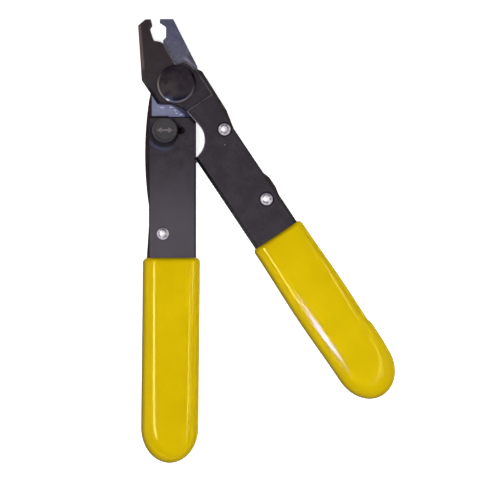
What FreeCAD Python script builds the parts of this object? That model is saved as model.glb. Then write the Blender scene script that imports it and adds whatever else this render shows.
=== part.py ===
import FreeCAD, Part
import math
import os

# Fibre ribbon access tool: two flat steel levers crossing at a riveted pivot, lying face up.
# Millimetres. The origin is the pivot axis on the plane that the tool rests on, +Z is up
# through the tool's face and +Y points from the pivot to the jaws.
# The front half is drawn with its handle straight down, like the back half, and then turned
# to its open angle.

# Overall layout
open_deg = 33.7
close_deg = 15.0
plate_t = 1.8
lap_gap = 0.05
grip_skin = 1.5
edge_break = 0.25

# Fits
seat_gap = 0.02
run_gap = 0.05
side_gap = 0.25

# How far a cut runs past the face that it opens
over = 1.0

# Pivot
shank_r = 2.6
bush_wall = 0.8
pivot_head_r = 5.65
pivot_head_h = 1.5
pivot_bevel = 0.5
pivot_washer_t = 0.3
pivot_washer_r = 4.8
tail_ring_r = 4.6

# Laps and jaws
lap_r = 7.1
jaw_len = 19.6
jaw_tip_w = 4.1
jaw_tip_x = 5.0
jaw_root_out = 0.46
jaw_root_y = 5.2
front_tip_rise = 1.4
front_tip_shift = 0.9
front_tip_w = 3.9
front_shoulder_y = 6.7
front_shoulder_x = 8.0
front_lap_corner_y = 4.4
front_lap_root_y = 5.1
jaw_bevel_w = 1.0
jaw_bevel_d = 0.7

# Ribbon notch, placed down from the back jaw's tip
throat_x = 3.1
floor_down = 6.4
floor_lip = 0.9
hook_down = 2.1
hook_lip = 0.45
hook_nose = 0.9
front_foot_out = 0.45
front_floor_in = 1.35
front_side_in = 0.9
front_hook_in = 0.45
front_nose_back = 0.3
front_nose_up = 1.0
front_beak_out = 0.4
front_beak_down = 0.6
front_crest_back = 1.05
front_crest_rise = 0.35

# Left handle
left_inner_x = 5.94
left_outer_x = 8.2
left_cover_top = 9.9
bow_top = 4.8
bow_bottom = 37.0
bow_rise = 1.2
flare_start = 42.0
flare_w = 0.7

# Right handle
right_inner_x = 7.7
right_outer_x = 7.2
right_tang_x = 6.9
right_bevel_w = 0.83
right_bevel_d = 1.2
cover_step = 8.55
horn_x = 8.6
horn_top = 0.2
horn_lean = 0.7
horn_foot = 1.3
horn_under = 0.5
blade_x = 8.2
blade_end = 15.0
waist_x = 6.95
waist_top = 20.8
waist_bottom = 36.6
hump_x = 7.7
hump_len = 3.5
hump_ramp = 2.2
lap_cut_x = 13.0
lap_cut_y = 12.5
cut_lean = 7.5
cut_bend_y = 14.2
cut_round = 6.6
cut_gap = 0.3
cover_short = 2.0

# Grips, as wide as their handles with a lip on each side
grip_round = 3.2
mouth_break = 0.8
left_grip_lip = 0.81
left_grip_back = 1.35
left_grip_top = 52.1
left_grip_end = 113.3
right_grip_lip = 0.9
right_grip_back = 1.2
right_grip_top = 54.4
right_grip_end = 111.6

# Rivets
rivet_r = 1.4
rivet_head_r = 1.95
rivet_head_h = 0.6
rivet_tail_r = 1.9
rivet_tail_h = 0.5
left_rivet = (-4.0, -44.9)
left_tail_rivet_at = (-1.4, -96.0)
right_upper_rivet_at = (4.5, -19.4)
right_lower_rivet_at = (3.4, -43.8)
right_tail_rivet_at = (-0.3, -95.0)

# Sliding stop and its thumb nut
stop_x = -3.3
stop_y = -13.95
stop_travel = 5.0
stem_r = 1.0
stem_up = 1.2
stud_head_w = 3.4
stud_head_t = 0.8
stud_pocket_d = 1.0
collar_wall = 0.3
stop_washer_r = 2.9
stop_washer_t = 0.2
knob_r = 3.8
knob_t = 1.9
knob_gap = 0.15
knob_edge = 0.35

# Return spring
spring_t = 0.6
spring_h = 1.0
spring_pocket_d = 1.2
spring_lean = 17.5
spring_nose_lean = 82.5
spring_run = 22.0
spring_elbow_r = 1.6
spring_bead_r = 0.6
spring_mouth_up = 2.0
spring_mouth_down = 4.0
spring_pressed = 6.0

# Levels, from the rest plane upwards
back_z0 = grip_skin
back_z1 = back_z0 + plate_t
left_cover_z1 = back_z1 + plate_t
front_z0 = back_z1 + lap_gap
front_z1 = front_z0 + plate_t
right_cover_z1 = front_z1 + plate_t
pivot_washer_z0 = front_z1 + run_gap
pivot_head_z0 = pivot_washer_z0 + pivot_washer_t
collar_z0 = left_cover_z1 + run_gap
collar_z1 = right_cover_z1 + knob_gap
stop_washer_z1 = collar_z1 + stop_washer_t
knob_z0 = stop_washer_z1 + run_gap
knob_z1 = knob_z0 + knob_t
stem_z1 = knob_z0 + stem_up
spring_z0 = back_z1 + (spring_pocket_d - spring_h) / 2

V = FreeCAD.Vector
UP = V(0, 0, 1)


class Outline:
    """A closed plan outline, drawn point by point with lines and arcs."""

    def __init__(self, x, y):
        self.first = V(x, y, 0)
        self.last = self.first
        self.edges = []

    def line(self, x, y):
        to = V(x, y, 0)
        self.edges.append(Part.LineSegment(self.last, to).toShape())
        self.last = to
        return self

    def arc(self, via, to):
        to = V(to[0], to[1], 0)
        self.edges.append(Part.Arc(self.last, V(via[0], via[1], 0), to).toShape())
        self.last = to
        return self

    def about(self, centre, to):
        """The shorter arc about a centre."""
        middle = V(centre[0], centre[1], 0)
        spoke = self.last - middle
        half_way = (spoke + V(to[0], to[1], 0) - middle).normalize()
        return self.arc(middle + half_way * spoke.Length, to)

    def plate(self, z0, z1):
        if self.last.distanceToPoint(self.first) > 1e-6:
            self.line(self.first.x, self.first.y)
        face = Part.Face(Part.Wire(self.edges))
        face.translate(V(0, 0, z0))
        return face.extrude(UP * (z1 - z0))


def pin(at, radius, z0, z1):
    return Part.makeCylinder(radius, z1 - z0, V(at[0], at[1], z0))


def ring(at, outer, inner, z0, z1):
    return pin(at, outer, z0, z1).cut(pin(at, inner, z0 - over, z1 + over))


def turned(at, profile):
    """A solid of revolution about a vertical axis; the profile is (radius, z) points."""
    points = [V(r, 0, z) for r, z in profile]
    body = Part.Face(Part.makePolygon(points + points[:1])).revolve(V(), UP, 360)
    body.translate(V(at[0], at[1], 0))
    return body


def box(x0, x1, y0, y1, z0, z1):
    return Part.makeBox(x1 - x0, y1 - y0, z1 - z0, V(x0, y0, z0))


def edges_at(solid, z):
    level = [e for e in solid.Edges if abs(e.BoundBox.ZMin - z) < 1e-6]
    return [e for e in level if abs(e.BoundBox.ZMax - z) < 1e-6]


def broken(plate, *levels):
    """Break the sharp edges round a plate's outline at the levels given."""
    for z in levels:
        plate = plate.makeChamfer(edge_break, edges_at(plate, z))
    return plate


def bevel_tool(start, end, width, depth, z1):
    """A wedge that bevels the edge from start to end, with the plate on the left of it."""
    a = V(start[0], start[1], z1)
    b = V(end[0], end[1], z1)
    along = (b - a).normalize()
    inward = UP.cross(along)
    corner = [a + inward * width, a - inward * width, a - inward * width - UP * 2 * depth]
    wedge = Part.Face(Part.makePolygon([V(p) for p in corner + corner[:1]]))
    return wedge.extrude(b - a)


def tail_hole(at, z0, z1):
    """A rivet's hole from z0 up, countersunk at z0 for the rivet's tail."""
    profile = [
        (0, z0),
        (rivet_tail_r + seat_gap, z0),
        (rivet_r + seat_gap, z0 + rivet_tail_h),
        (rivet_r + seat_gap, z1),
        (0, z1),
    ]
    return turned(at, profile)


def tail_rivet_hole(at, z0, z1):
    """A hole countersunk at both ends, for a rivet that is flush on both faces."""
    top = tail_hole(at, 0, z1 - z0)
    top.rotate(V(at[0], at[1], 0), V(1, 0, 0), 180)
    top.translate(V(0, 0, z1))
    return tail_hole(at, z0, z1).fuse(top)


def domed_rivet(at, z0, z1):
    """Countersunk tail at z0, shank, and a domed head that sits on z1."""
    dome_r = (rivet_head_r ** 2 + rivet_head_h ** 2) / (2 * rivet_head_h)
    body = turned(at, [
        (0, z0), (rivet_tail_r, z0), (rivet_r, z0 + rivet_tail_h), (rivet_r, z1), (0, z1)])
    ball = Part.makeSphere(dome_r, V(at[0], at[1], z1 + rivet_head_h - dome_r))
    head = ball.common(pin(at, rivet_head_r, z1, z1 + rivet_head_h))
    return body.fuse(head).removeSplitter()


def flush_rivet(at, z0, z1):
    return turned(at, [
        (0, z0), (rivet_tail_r, z0), (rivet_r, z0 + rivet_tail_h),
        (rivet_r, z1 - rivet_tail_h), (rivet_tail_r, z1), (0, z1)])


def round_end(outline, x_from, x_to, y):
    """Carry an outline round a handle's far end, from one edge to the other."""
    radius = abs(x_to - x_from) / 2
    return outline.line(x_from, y).arc(((x_from + x_to) / 2, y - radius), (x_to, y))


def opened(solid):
    """Turn a piece of the front half from its drawn place to its open angle."""
    solid.rotate(V(), UP, open_deg)
    return solid


# Edges of the grips, and where their straight sides and the tangs' give way to round ends
left_tang_x = -(left_outer_x + flare_w)
left_grip_x = (left_tang_x - left_grip_back, left_inner_x + left_grip_lip)
right_grip_x = (-right_inner_x - right_grip_lip, right_outer_x + right_grip_back)
left_end_y = -left_grip_end + (left_grip_x[1] - left_grip_x[0]) / 2
right_end_y = -right_grip_end + (right_grip_x[1] - right_grip_x[0]) / 2

# The front lever's tang runs beside the left handle's inner edge when the jaws are closed: from
# just above the left cover's corner down to where the tang has the right handle's full width
closed_at = math.radians(open_deg - close_deg)
closed_edge_x = left_inner_x + side_gap
corner_y = left_cover_top - side_gap
taper_start = closed_edge_x * math.sin(closed_at) + corner_y * math.cos(closed_at)
taper_start_x = closed_edge_x * math.cos(closed_at) - corner_y * math.sin(closed_at)
taper_end = (closed_edge_x + right_inner_x * math.cos(closed_at)) / math.sin(closed_at)

# The ribbon notch's floor and the hook above it
floor_y = jaw_len - floor_down
hook_y = jaw_len - hook_down

# The concave cut in the right cover is a leaning wall and a quarter round below it. The wall just
# clears the stop's collar with the jaws closed and the stop at its far end
stop_far = V(stop_x + stop_travel, stop_y, 0)
stop_seen = FreeCAD.Rotation(UP, close_deg - open_deg).multVec(stop_far)
wall_slope = math.tan(math.radians(cut_lean))
wall_x = stop_seen.x + (stem_r + collar_wall + cut_gap) / math.cos(math.radians(cut_lean))
cut_step_x = wall_x - wall_slope * (-cover_step - stop_seen.y)
cut_bend_x = wall_x + wall_slope * (cut_bend_y + stop_seen.y)
cut_centre_x = cut_bend_x - cut_round * math.cos(math.radians(cut_lean))
cut_centre_y = -cut_bend_y - cut_round * math.sin(math.radians(cut_lean))
cut_end_y = cut_centre_y - math.sqrt(cut_round ** 2 - (right_inner_x + cut_centre_x) ** 2)

# The front lever's lower edge is an arc from its foot to the top of that wall
lap_cut_r = math.hypot(cut_step_x + lap_cut_x, lap_cut_y - cover_step)
cut_lap_y = -lap_cut_y + math.sqrt(lap_cut_r ** 2 - (lap_cut_x - front_shoulder_x) ** 2)
lap_meets_throat = math.sqrt(lap_r ** 2 - throat_x ** 2)
front_lap_corner_x = math.sqrt(lap_r ** 2 - front_lap_corner_y ** 2)

# Slot and pocket of the stop
slot_x0 = stop_x - stem_r - run_gap
slot_x1 = stop_x + stop_travel + stem_r + run_gap
slot_r = stem_r + run_gap
stud_half = stud_head_w / 2


def slot(x0, x1, y, radius, z0, z1):
    middle = box(x0 + radius, x1 - radius, y - radius, y + radius, z0, z1)
    ends = [pin((x, y), radius, z0, z1) for x in (x0 + radius, x1 - radius)]
    return middle.fuse(ends)


def back_lever():
    o = Outline(-jaw_tip_x + jaw_tip_w, jaw_len)
    o.line(left_inner_x + jaw_root_out, jaw_root_y).line(left_inner_x, -lap_r)
    round_end(o, left_inner_x, left_tang_x, left_end_y)
    o.line(left_tang_x, -left_grip_top).line(-left_outer_x, -flare_start)
    o.line(-left_outer_x, -bow_bottom)
    o.arc((-left_outer_x - bow_rise, -(bow_top + bow_bottom) / 2), (-left_outer_x, -bow_top))
    o.line(-lap_r, 0).about((0, 0), (-throat_x, lap_meets_throat))
    o.line(-throat_x - floor_lip, floor_y).line(-throat_x, floor_y + floor_lip)
    o.line(-throat_x, hook_y - hook_lip).line(-throat_x - hook_lip, hook_y)
    o.line(-jaw_tip_x, hook_y + hook_nose).line(-jaw_tip_x, jaw_len)
    lever = broken(o.plate(back_z0, back_z1), back_z0)
    pocket = box(
        stop_x - stud_half - run_gap, stop_x + stop_travel + stud_half + run_gap,
        stop_y - stud_half - run_gap, stop_y + stud_half + run_gap,
        back_z1 - stud_pocket_d, back_z1 + over)
    holes = [
        pin((0, 0), shank_r + seat_gap, back_z0 - over, back_z1 + over),
        tail_hole(left_rivet, back_z0, left_cover_z1),
        tail_rivet_hole(left_tail_rivet_at, back_z0, left_cover_z1),
    ]
    return lever.cut([pocket] + holes)


def spring_points():
    """Centre line of the spring's strip: eye, leaf, elbow and nose."""
    lean, nose = math.radians(spring_lean), math.radians(spring_nose_lean)
    leaf = V(math.sin(lean), math.cos(lean), 0)
    leaf_right = V(math.cos(lean), -math.sin(lean), 0)
    tip = V(math.sin(nose), math.cos(nose), 0)
    tip_right = V(math.cos(nose), -math.sin(nose), 0)
    eye = V(left_rivet[0], left_rivet[1], 0)
    start = eye + leaf_right * (rivet_r + run_gap + spring_t / 2)
    elbow_start = start + leaf * spring_run
    elbow = elbow_start + leaf_right * spring_elbow_r
    elbow_end = elbow - tip_right * spring_elbow_r
    middle = (leaf_right + tip_right).normalize()
    return eye, start, elbow_start, elbow - middle * spring_elbow_r, elbow_end, tip


def spring_bead_at(elbow_end, tip):
    """The rolled nose stops just short of the front lever's tang, at the open angle."""
    rest = math.radians(open_deg)
    outward = V(math.cos(rest - closed_at), math.sin(rest - closed_at), 0)
    reach = closed_edge_x - spring_bead_r - run_gap - elbow_end.dot(outward)
    return elbow_end + tip * (reach / tip.dot(outward))


def return_spring():
    eye, start, elbow_start, elbow_mid, elbow_end, tip = spring_points()
    bead = spring_bead_at(elbow_end, tip)
    path = Part.Wire([
        Part.LineSegment(start, elbow_start).toShape(),
        Part.Arc(elbow_start, elbow_mid, elbow_end).toShape(),
        Part.LineSegment(elbow_end, bead).toShape(),
    ])
    path.translate(V(0, 0, spring_z0))
    along = (elbow_start - start).normalize()
    half = UP.cross(along) * (spring_t / 2)
    foot = start + V(0, 0, spring_z0)
    corners = [foot - half, foot + half, foot + half + UP * spring_h, foot - half + UP * spring_h]
    section = Part.makePolygon(corners + corners[:1])
    strip = path.makePipeShell([section], True, False)
    z1 = spring_z0 + spring_h
    eye_ring = ring(eye, rivet_r + run_gap + spring_t, rivet_r + run_gap, spring_z0, z1)
    rolled = pin(bead, spring_bead_r, spring_z0, z1)
    return strip.fuse([eye_ring, rolled]).removeSplitter()


def spring_pocket():
    """Room behind the left cover for the spring, at rest and pressed back by the tang."""
    eye, start, elbow_start, elbow_mid, elbow_end, tip = spring_points()
    z0 = back_z1 - over
    z1 = back_z1 + spring_pocket_d
    eye_r = rivet_r + run_gap + spring_t + side_gap
    mouth_top = elbow_end.y + spring_mouth_up
    mouth_bottom = elbow_end.y - spring_mouth_down
    pressed_x = elbow_end.x - spring_pressed - spring_elbow_r
    out_x = left_inner_x + over
    o = Outline(eye.x - eye_r, eye.y)
    o.line(pressed_x, mouth_bottom).line(pressed_x, mouth_top)
    o.line(out_x, mouth_top).line(out_x, mouth_bottom).line(eye.x + eye_r, eye.y)
    return o.plate(z0, z1).fuse(pin(eye, eye_r, z0, z1))


def left_cover_plate():
    o = Outline(-left_outer_x, -left_cover_top)
    o.line(left_inner_x, -left_cover_top)
    round_end(o, left_inner_x, -left_outer_x, left_end_y + cover_short)
    plate = broken(o.plate(back_z1, left_cover_z1), left_cover_z1)
    z0, z1 = back_z1 - over, left_cover_z1 + over
    return plate.cut([
        slot(slot_x0, slot_x1, stop_y, slot_r, z0, z1),
        spring_pocket(),
        pin(left_rivet, rivet_r + seat_gap, z0, z1),
        tail_rivet_hole(left_tail_rivet_at, back_z0, left_cover_z1),
    ])


def front_lever():
    tip_y = jaw_len + front_tip_rise
    tip_x = jaw_tip_x - front_tip_shift
    crown = (tip_x - front_tip_w, tip_y)
    shoulder = (-front_shoulder_x, front_shoulder_y)
    foot = (-front_shoulder_x, cut_lap_y)
    o = Outline(*crown)
    o.line(*shoulder).line(*foot).about((-lap_cut_x, -lap_cut_y), (cut_step_x, -cover_step))
    o.line(taper_start_x, -taper_start).line(-right_inner_x, -taper_end)
    round_end(o, -right_inner_x, right_tang_x, right_end_y)
    o.line(right_tang_x, -blade_end).line(lap_r + horn_under, -cover_step)
    o.line(lap_r + horn_under, -horn_foot).line(lap_r, 0)
    o.about((0, 0), (front_lap_corner_x, front_lap_corner_y)).line(throat_x, front_lap_root_y)
    o.line(throat_x + front_foot_out, floor_y - floor_lip).line(throat_x, floor_y)
    o.line(throat_x - front_floor_in, floor_y + front_floor_in)
    o.line(throat_x - front_side_in, hook_y - front_side_in)
    o.line(throat_x - front_hook_in, hook_y + front_hook_in)
    o.line(tip_x - front_nose_back, hook_y + front_nose_up)
    o.line(tip_x + front_beak_out, tip_y - front_beak_down)
    o.line(tip_x - front_crest_back, tip_y + front_crest_rise)
    lever = broken(o.plate(front_z0, front_z1), front_z1)
    wedges = [
        bevel_tool(crown, shoulder, jaw_bevel_w, jaw_bevel_d, front_z1),
        bevel_tool(shoulder, foot, jaw_bevel_w, jaw_bevel_d, front_z1),
    ]
    holes = [
        pin((0, 0), shank_r + run_gap + bush_wall + seat_gap, front_z0 - over, front_z1 + over),
        tail_hole(right_upper_rivet_at, front_z0, right_cover_z1),
        tail_hole(right_lower_rivet_at, front_z0, right_cover_z1),
        tail_rivet_hole(right_tail_rivet_at, front_z0, right_cover_z1),
    ]
    return lever.cut(wedges + holes)


def right_cover_plate():
    hump_top = waist_bottom + hump_ramp
    hump_bottom = hump_top + hump_len
    end_y = right_end_y + cover_short
    o = Outline(cut_step_x, -cover_step)
    o.line(lap_r, -cover_step).line(lap_r, -horn_top).line(lap_r + horn_lean, horn_top)
    o.line(horn_x, -horn_foot).line(blade_x, -blade_end)
    o.line(waist_x, -waist_top).line(waist_x, -waist_bottom)
    o.line(hump_x, -hump_top).line(hump_x, -hump_bottom)
    o.line(right_outer_x, -hump_bottom - hump_ramp)
    round_end(o, right_outer_x, -right_inner_x, end_y)
    o.line(-right_inner_x, cut_end_y)
    o.about((cut_centre_x, cut_centre_y), (cut_bend_x, -cut_bend_y))
    plate = broken(o.plate(front_z1, right_cover_z1), right_cover_z1)
    bevel = bevel_tool(
        (-right_inner_x, cut_end_y), (-right_inner_x, end_y),
        right_bevel_w, right_bevel_d, right_cover_z1)
    z0, z1 = front_z1 - over, right_cover_z1 + over
    holes = [
        pin(right_upper_rivet_at, rivet_r + seat_gap, z0, z1),
        pin(right_lower_rivet_at, rivet_r + seat_gap, z0, z1),
        tail_rivet_hole(right_tail_rivet_at, front_z0, right_cover_z1),
    ]
    return plate.cut([bevel] + holes)


def at_mouth(edge, y):
    return abs(edge.BoundBox.YMin - y) + abs(edge.BoundBox.YMax - y) < 1e-6


def grip(edges_x, top, end_y, z0, z1, contents):
    """A dipped grip: rounded all over, and hollow where the plates and the rivet's hole lie."""
    o = Outline(edges_x[1], -top)
    round_end(o, edges_x[1], edges_x[0], end_y)
    o.line(edges_x[0], -top)
    body = o.plate(z0, z1)
    rims = edges_at(body, z0) + edges_at(body, z1)
    rounding = min(grip_round, (z1 - z0) / 2 - seat_gap)
    body = body.makeFillet(rounding, [e for e in rims if not at_mouth(e, -top)])
    body = body.makeChamfer(mouth_break, [e for e in body.Edges if at_mouth(e, -top)])
    return body.cut(contents)


def pivot_rivet():
    z0, z1 = pivot_head_z0, pivot_head_z0 + pivot_head_h
    return turned((0, 0), [
        (0, 0), (shank_r, 0), (shank_r, z0), (pivot_head_r - edge_break, z0),
        (pivot_head_r, z0 + edge_break), (pivot_head_r, z1 - pivot_bevel),
        (pivot_head_r - pivot_bevel, z1), (0, z1)])


def pivot_tail_ring():
    inner = shank_r + seat_gap
    return turned((0, 0), [
        (inner, 0), (tail_ring_r - edge_break, 0), (tail_ring_r, edge_break),
        (tail_ring_r, back_z0), (inner, back_z0)])


def pivot_bush():
    inner = shank_r + run_gap
    return ring((0, 0), inner + bush_wall, inner, front_z0, front_z1)


def pivot_washer():
    return ring((0, 0), pivot_washer_r, shank_r + seat_gap, pivot_washer_z0, pivot_head_z0)


stop_at = (stop_x, stop_y)


def stop_stud():
    head_z1 = back_z1 - run_gap
    head = box(
        stop_x - stud_half, stop_x + stud_half, stop_y - stud_half, stop_y + stud_half,
        head_z1 - stud_head_t, head_z1)
    return head.fuse(pin(stop_at, stem_r, head_z1 - stud_head_t, stem_z1)).removeSplitter()


def stop_collar():
    inner = stem_r + seat_gap
    return ring(stop_at, stem_r + collar_wall, inner, collar_z0, collar_z1)


def stop_washer():
    return ring(stop_at, stop_washer_r, stem_r + seat_gap, collar_z1, stop_washer_z1)


def stop_knob():
    body = turned(stop_at, [
        (0, knob_z0), (knob_r - knob_edge, knob_z0), (knob_r, knob_z0 + knob_edge),
        (knob_r, knob_z1 - knob_edge), (knob_r - knob_edge, knob_z1), (0, knob_z1)])
    return body.cut(pin(stop_at, stem_r + run_gap, knob_z0 - over, stem_z1 + run_gap))


def back_half():
    parts = {
        "back_lever": back_lever(),
        "left_cover_plate": left_cover_plate(),
        "left_handle_rivet": domed_rivet(left_rivet, back_z0, left_cover_z1),
        "left_tail_rivet": flush_rivet(left_tail_rivet_at, back_z0, left_cover_z1),
        "pivot_rivet": pivot_rivet(),
        "pivot_washer": pivot_washer(),
        "pivot_tail_ring": pivot_tail_ring(),
        "return_spring": return_spring(),
    }
    plug = tail_rivet_hole(left_tail_rivet_at, back_z0, left_cover_z1)
    inside = [parts["back_lever"], parts["left_cover_plate"], plug]
    top_z = left_cover_z1 + grip_skin
    parts["left_grip"] = grip(left_grip_x, left_grip_top, left_end_y, 0, top_z, inside)
    return parts


def front_half():
    parts = {
        "front_lever": front_lever(),
        "right_cover_plate": right_cover_plate(),
        "right_upper_rivet": domed_rivet(right_upper_rivet_at, front_z0, right_cover_z1),
        "right_lower_rivet": domed_rivet(right_lower_rivet_at, front_z0, right_cover_z1),
        "right_tail_rivet": flush_rivet(right_tail_rivet_at, front_z0, right_cover_z1),
        "pivot_bush": pivot_bush(),
    }
    plug = tail_rivet_hole(right_tail_rivet_at, front_z0, right_cover_z1)
    inside = [parts["front_lever"], parts["right_cover_plate"], plug]
    z0, z1 = front_z0 - grip_skin, right_cover_z1 + grip_skin
    parts["right_grip"] = grip(right_grip_x, right_grip_top, right_end_y, z0, z1, inside)
    return {name: opened(solid) for name, solid in parts.items()}


def stop():
    return {
        "stop_stud": stop_stud(),
        "stop_collar": stop_collar(),
        "stop_washer": stop_washer(),
        "stop_knob": stop_knob(),
    }


os.makedirs("parts", exist_ok=True)
for name, solid in {**back_half(), **front_half(), **stop()}.items():
    solid.exportStep("parts/" + name + ".step")
    print(name, "valid" if solid.isValid() else "NOT VALID", len(solid.Solids), round(solid.Volume, 2))
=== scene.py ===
import math

import bmesh
import bpy
from mathutils import Matrix, Vector, noise


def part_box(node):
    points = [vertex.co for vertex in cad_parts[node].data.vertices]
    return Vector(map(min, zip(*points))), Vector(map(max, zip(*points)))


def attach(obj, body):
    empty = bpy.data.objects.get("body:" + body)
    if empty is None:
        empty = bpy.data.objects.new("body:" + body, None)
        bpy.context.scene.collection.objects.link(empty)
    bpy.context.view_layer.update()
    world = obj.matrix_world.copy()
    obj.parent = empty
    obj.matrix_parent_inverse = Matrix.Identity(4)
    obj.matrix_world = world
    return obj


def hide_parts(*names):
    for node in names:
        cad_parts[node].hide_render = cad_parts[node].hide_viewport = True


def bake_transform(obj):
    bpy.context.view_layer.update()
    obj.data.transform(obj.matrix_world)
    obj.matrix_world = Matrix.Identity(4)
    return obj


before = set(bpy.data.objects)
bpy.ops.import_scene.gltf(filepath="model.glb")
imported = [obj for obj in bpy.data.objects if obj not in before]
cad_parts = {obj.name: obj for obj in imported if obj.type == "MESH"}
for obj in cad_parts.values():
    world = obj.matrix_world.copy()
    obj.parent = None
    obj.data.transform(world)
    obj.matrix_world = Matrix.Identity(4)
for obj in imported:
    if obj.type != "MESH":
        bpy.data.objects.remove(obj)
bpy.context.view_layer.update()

# Fibre ribbon access tool, lying face up. Sizes are in millimetres unless a name or a comment says otherwise.
# A pair is a place (x, y), the two edges of a band, or where a change starts and where it is complete.
MM = 0.001

# Points of a new mesh that are closer than this become one
WELD = 1e-4

# The front half is drawn with its handle straight down, and turned to this angle when open
OPEN_ANGLE = math.radians(33.7)

# The picture's middle, the width that it takes in at the tool's level, and the camera's height and reach
VIEW_MIDDLE = (22.3, -49.8)
VIEW_WIDTH = 150.3
VIEW_LEVEL = 5.0
CAMERA_HEIGHT = 1200.0
CAMERA_REACH = 10000.0
SENSOR_WIDTH = 36.0

# Dipped grips: how square their section is, how much longer than the CAD grips they are, the length of their
# round ends, and the skin's ripple
GRIP_SQUARENESS = 3.6
GRIP_LONGER = 0.5
END_LENGTH = 10.6
GRIP_RIPPLE = 0.01
GRIP_RIPPLE_LENGTH = 9.0

# Their mouths: the length over which the skin thins to the plates, how far it goes back along them inside,
# and how square the plates' section is
GRIP_LIP = 1.5
GRIP_SLEEVE = 3.0
PLATE_SQUARENESS = 14.0

# The left grip leans and is a little wider, and the right one swells in its middle
LEFT_LEAN = 0.0108
LEFT_SPREAD = 0.16
RIGHT_SPREAD = 0.05
RIGHT_SWELL = 0.38

# The drip on the right grip's outer side: how proud it stands, its top and shoulder, and where it fades
# and ends
DRIP_PROUD = 0.6
DRIP_TOP = -90.3
DRIP_SHOULDER = 2.2
DRIP_FADE = -97.3
DRIP_END = -107.3

# How finely the grips are divided
OUTLINE_STEPS = 1200
SECTION_STEPS = 40
STRAIGHT_STEPS = 72
END_STEPS = 40
LIP_STEPS = 10

# Thumb nut: its teeth, its edges, the dish in its face, and the flat middles of foot and dish as shares of
# its radius
NUT_TEETH = 40
NUT_TOOTH_STEPS = 4
NUT_TOOTH_DEPTH = 0.13
NUT_EDGE = 0.32
NUT_EDGE_ROUND = 0.3 * NUT_EDGE
NUT_ROUND_CUT = 0.6
NUT_DISH = 0.12
NUT_FOOT_SHARE = 0.25
NUT_FACE_SHARE = 0.3

# The arrow on the nut
MARK_LENGTH = 4.9
MARK_HEAD = 1.5
MARK_WIDTH = 1.7
MARK_STEM = 0.55
MARK_PROUD = 0.02

# Spring: how many lengths it is cut into, and how close the joined points of its mesh are
SPRING_LENGTHS = 24
SPRING_WELD = 1e-3

# By how far it looks up, which face of a blackened plate is tilted and so painted in shade, a bevel or an
# edge, and which faces take the passing shade, the painted highlight on the jaw and the grinding
TILTED = (0.97, 0.9)
BEVEL_TILT = (0.76, 0.9)
EDGE_TILT = (0.66, 0.74)
TILT_SOFT = 0.02
PASSING_SHADE_TILT = (0.3, 0.6)
JAW_GLEAM_TILT = (0.4, 0.7)
GROUND_TILT = (0.8, 0.95)

# Blackened plates: the shade round a rivet's head, how far down the handle edges are rubbed bare and painted
# with a highlight, the level from which bevels are bare and painted lit too, the height under which edges
# below the jaws are shielded, and where these edges are duller
RIVET_SHADE = (0.45, 0.1)
RUBBED_AND_LIT_FROM = -23.0
RUBBED_AND_LIT_FADE = 3.0
ABOVE_ALL = 100.0
BEVELS_BARE_AND_LIT = (2.0, 6.0)
SHIELD_HEIGHT = (6.3, 5.7)
SHIELD_BELOW = (1.0, 0.0)
DULL_EDGE = (-9.0, 0.5)
DULL_EDGE_SOFT = 1.0

# Left cover: where its handle grows paler in a painted sheen, the nut's painted shadow, and the bluish arc of
# painted reflection below and to the left of the nut
HANDLE_PALES = (-18.0, -44.0)
NUT_SHADOW_SHIFT = (-0.3, -0.7)
NUT_SHADOW_RADII = (4.7, 3.9)
NUT_ARC = (5.3, 6.0)
NUT_ARC_SOFT = 0.4
NUT_ARC_BELOW = (-2.6, -4.2)
NUT_ARC_LEFT = (4.2, -0.6)

# The shade along the left cover's long edges, and the dark band beside the right cover's concave cut where it
# passes over the left cover: a point of the cut's edge, the direction out from it, and the band's width
LEFT_EDGE_SHADE = (-7.85, -8.0)
RIGHT_EDGE_SHADE = (5.3, 5.6)
EDGE_SHADE_BELOW = (-20.0, -24.0)
PASSING_SHADE_FROM = (3.0, -8.2)
PASSING_SHADE_OUT = (-0.747, -0.665)
PASSING_SHADE_WIDTH = (1.0, 0.6)

# Front lever and right cover: where the lap turns brown, a punch mark (place, half length, half width), and
# the painted highlight along the jaw's outer side, where its rounded edge catches the light, on a line turned
# by degrees
LAP_BROWNS = (-2.0, 8.0)
PUNCH_MARK = (2.0, -23.35, 0.25, 0.25)
JAW_GLEAM_TURN = -28.8
JAW_GLEAM_EDGE = -9.93
JAW_GLEAM_WIDTH = (1.05, 0.65)
JAW_GLEAM_FROM = (8.0, 10.5)

# The shade along their outer edge, which widens upwards, and on the tang's inner edge
OUTER_EDGE = 7.2
OUTER_EDGE_WIDENS = 1.3
OUTER_EDGE_WIDER = (-24.0, -6.0)
OUTER_SHADE = (-1.2, -0.4)
OUTER_SHADE_BELOW = (1.0, -1.0)
TANG_SHADE = (-6.6, -6.8)
TANG_SHADE_BELOW = (-22.0, -26.0)

# Back lever: where its jaw greys, where its lap starts and darkens to the right in painted shade, nearly
# black at its end between the front lever and the left cover, and where the grinding ends at the bottom, with
# a step in it, and at the left
JAW_GREYS = (15.0, 7.0)
LAP_FROM = (3.0, -4.0)
LAP_DARKENS = (-0.8, 2.2)
LAP_ENDS = (2.2, 2.9)
GROUND_BOTTOM = -9.5
GROUND_STEP = 0.8
GROUND_STEP_AT = (-2.6, -1.4)
GROUND_SOFT = 0.2
GROUND_LEFT = (-7.5, -7.2)

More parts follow.
